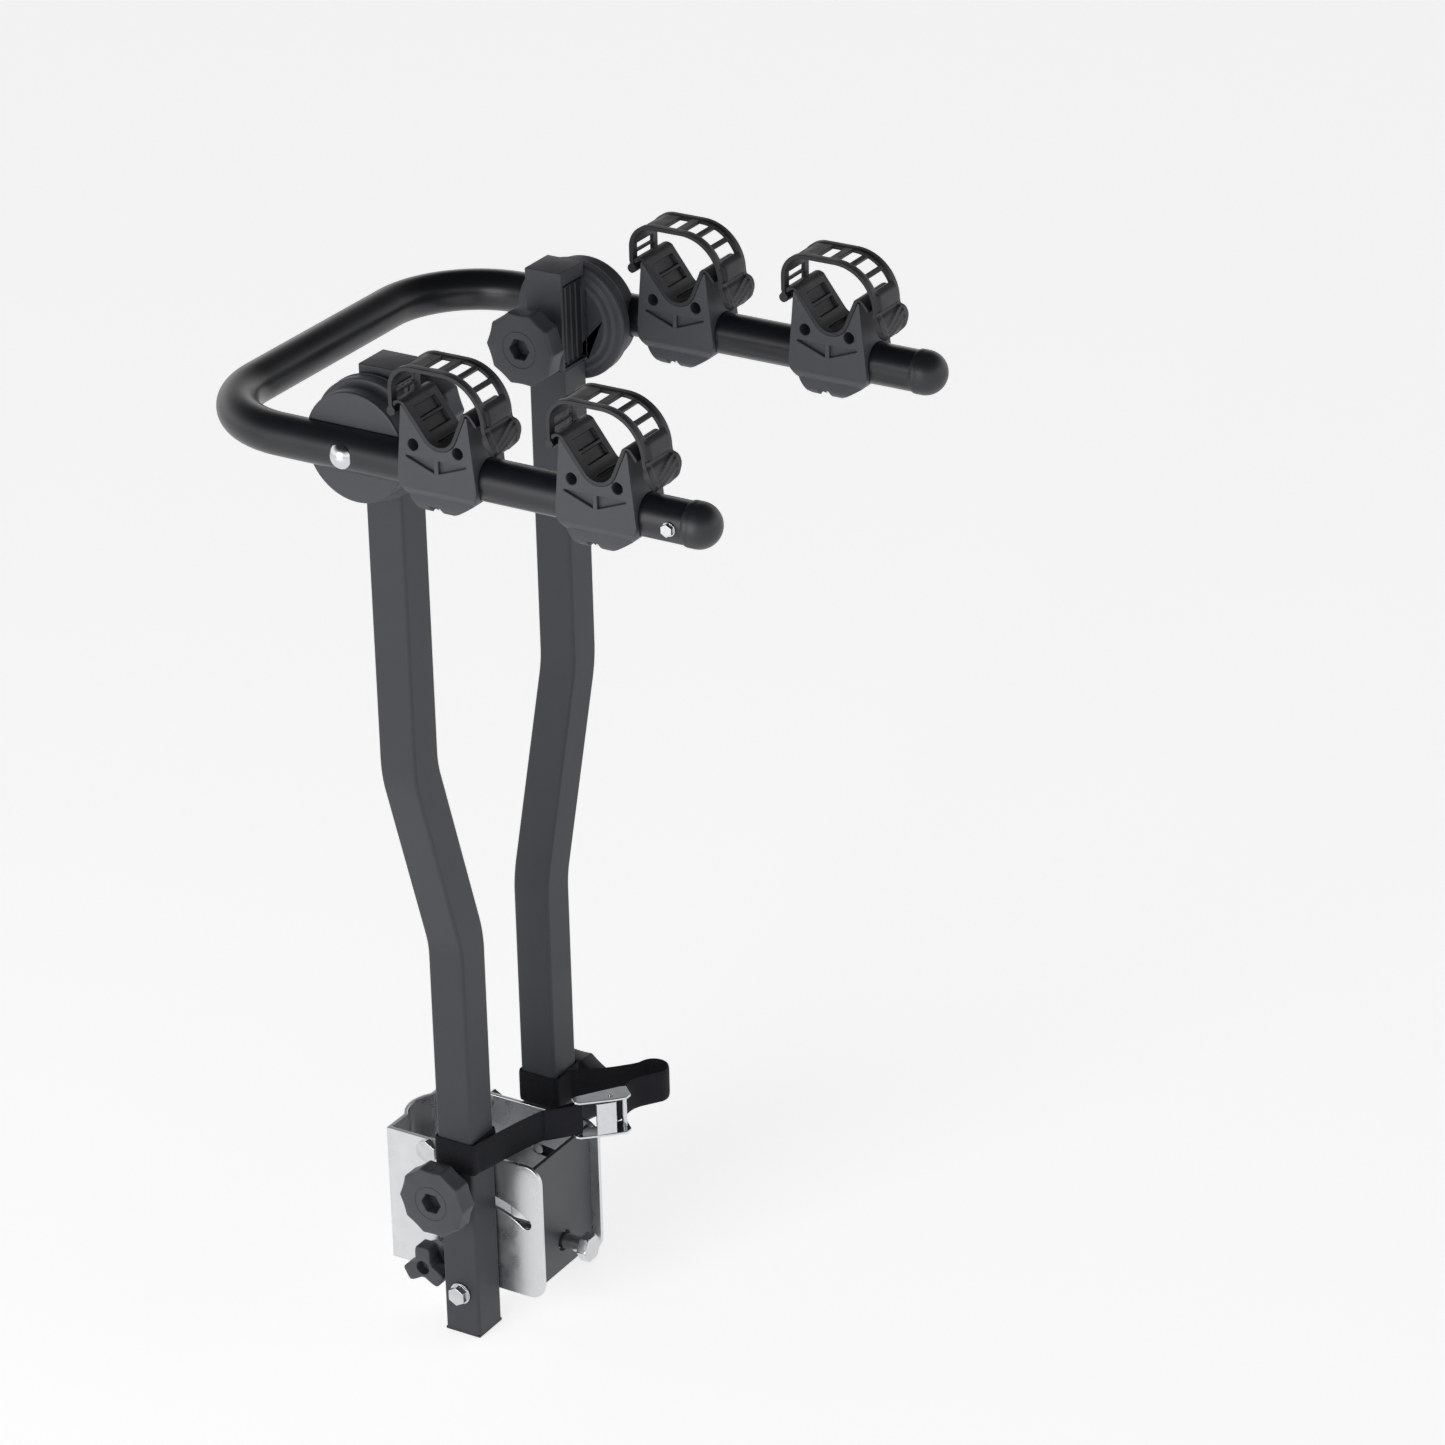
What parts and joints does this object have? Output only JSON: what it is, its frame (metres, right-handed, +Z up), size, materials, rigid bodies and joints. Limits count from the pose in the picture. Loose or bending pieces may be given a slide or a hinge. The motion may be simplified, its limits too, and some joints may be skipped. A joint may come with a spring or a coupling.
{
  "type": "hitch mounted bike rack",
  "caption": "Tilting bicycle rack that clamps on a tow ball: two cranked posts, a folding U-shaped arm frame, lined tube cradles with ladder straps, hand knobs and a webbing tie strap.",
  "frame": {"origin": "centre of the tow ball that the bracket clamps on", "axes": "+Z up the posts, -Y along the arms away from the vehicle, +X to the right seen from behind the vehicle"},
  "size_m": [0.341, 0.4315, 0.8145],
  "materials": {
    "zinc": "bright zinc plate",
    "bolt_steel": "zinc plated",
    "chrome": "polished",
    "plate_paint": "satin",
    "post_paint": "satin powder coat",
    "arm_paint": "satin black",
    "grey_plastic": "moulded satin",
    "black_plastic": "moulded",
    "rubber": "matte",
    "webbing": "woven"
  },
  "bodies": {
    "bracket": {"bracket_shell": "zinc", "front_plate": "plate_paint", "clamp_nut": "bolt_steel", "cross_bolt": "bolt_steel", "pivot_bolts": "bolt_steel", "lock_nut": "bolt_steel"},
    "jaw": {"clamp_jaw": "zinc"},
    "clamp_screw": {"clamp_bolt": "bolt_steel"},
    "lock_knob": {"lock_knob": "black_plastic"},
    "posts": {"post_left": "post_paint", "post_right": "post_paint", "foot_plugs": "black_plastic", "slot_bolts": "bolt_steel", "housing_left": "grey_plastic", "housing_right": "grey_plastic", "webbing_short": "webbing", "webbing_long": "webbing", "buckle_frame": "chrome", "buckle_pin": "chrome"},
    "lower_knob_left": {"lower_knob_left": "grey_plastic"},
    "lower_knob_right": {"lower_knob_right": "grey_plastic"},
    "top_knob_left": {"top_knob_left": "grey_plastic"},
    "top_knob_right": {"top_knob_right": "grey_plastic"},
    "buckle_lever": {"buckle_lever": "chrome"},
    "arms": {"arm_tube": "arm_paint", "end_cap_left": "black_plastic", "end_cap_right": "black_plastic", "end_screws": "bolt_steel", "saddle_left": "grey_plastic", "saddle_right": "grey_plastic", "fold_bolts": "chrome", "cradle_bolts": "bolt_steel", "cradle_1": "grey_plastic", "cradle_2": "grey_plastic", "cradle_3": "grey_plastic", "cradle_4": "grey_plastic", "liner_1": "rubber", "liner_2": "rubber", "liner_3": "rubber", "liner_4": "rubber"},
    "strap_1": {"strap_1": "rubber"},
    "strap_2": {"strap_2": "rubber"},
    "strap_3": {"strap_3": "rubber"},
    "strap_4": {"strap_4": "rubber"}
  },
  "joints": [
    {"name": "posts_tilt", "type": "hinge", "parent": "bracket", "child": "posts", "pos_m": [0, -0.0595, -0.021], "axis": [1, 0, 0], "range_deg": [0, 36], "deforming": ["webbing_short", "webbing_long"]},
    {"name": "arms_fold", "type": "hinge", "parent": "posts", "child": "arms", "pos_m": [0, -0.0595, 0.682], "axis": [1, 0, 0], "range_deg": [0, 90]},
    {"name": "top_knob_left_turn", "type": "hinge", "parent": "posts", "child": "top_knob_left", "pos_m": [-0.075, -0.0595, 0.682], "axis": [1, 0, 0], "continuous": true},
    {"name": "lower_knob_left_turn", "type": "hinge", "parent": "posts", "child": "lower_knob_left", "pos_m": [-0.09, -0.0595, 0.072], "axis": [1, 0, 0], "continuous": true},
    {"name": "top_knob_right_turn", "type": "hinge", "parent": "posts", "child": "top_knob_right", "pos_m": [0.075, -0.0595, 0.682], "axis": [1, 0, 0], "continuous": true},
    {"name": "lower_knob_right_turn", "type": "hinge", "parent": "posts", "child": "lower_knob_right", "pos_m": [0.09, -0.0595, 0.072], "axis": [1, 0, 0], "continuous": true},
    {"name": "lock_knob_turn", "type": "hinge", "parent": "bracket", "child": "lock_knob", "pos_m": [-0.055, -0.0245, -0.011], "axis": [1, 0, 0], "continuous": true},
    {"name": "jaw_slide", "type": "slide", "parent": "bracket", "child": "jaw", "axis": [0, -1, 0], "range_m": [0, 0.016]},
    {"name": "clamp_screw_turn", "type": "hinge", "parent": "jaw", "child": "clamp_screw", "pos_m": [0, -0.0795, 0], "axis": [0, -1, 0], "range_deg": [0, 3293.4]},
    {"name": "strap_1_open", "type": "hinge", "parent": "arms", "child": "strap_1", "pos_m": [-0.1515, -0.1045, 0.7245], "axis": [-1, 0, 0], "range_deg": [0, 75]},
    {"name": "strap_2_open", "type": "hinge", "parent": "arms", "child": "strap_2", "pos_m": [-0.1515, -0.2285, 0.7245], "axis": [-1, 0, 0], "range_deg": [0, 75]},
    {"name": "strap_3_open", "type": "hinge", "parent": "arms", "child": "strap_3", "pos_m": [0.1515, -0.1045, 0.7245], "axis": [-1, 0, 0], "range_deg": [0, 75]},
    {"name": "strap_4_open", "type": "hinge", "parent": "arms", "child": "strap_4", "pos_m": [0.1515, -0.2285, 0.7245], "axis": [-1, 0, 0], "range_deg": [0, 75]},
    {"name": "buckle_lever_lift", "type": "hinge", "parent": "posts", "child": "buckle_lever", "pos_m": [0.03631, -0.12689, 0.096], "axis": [0, 0, 1], "range_deg": [0, 100]}
  ],
  "couplings": [
    {"joint": "clamp_screw_turn", "follows": "jaw_slide", "rad_per_m": 3590.4}
  ]
}
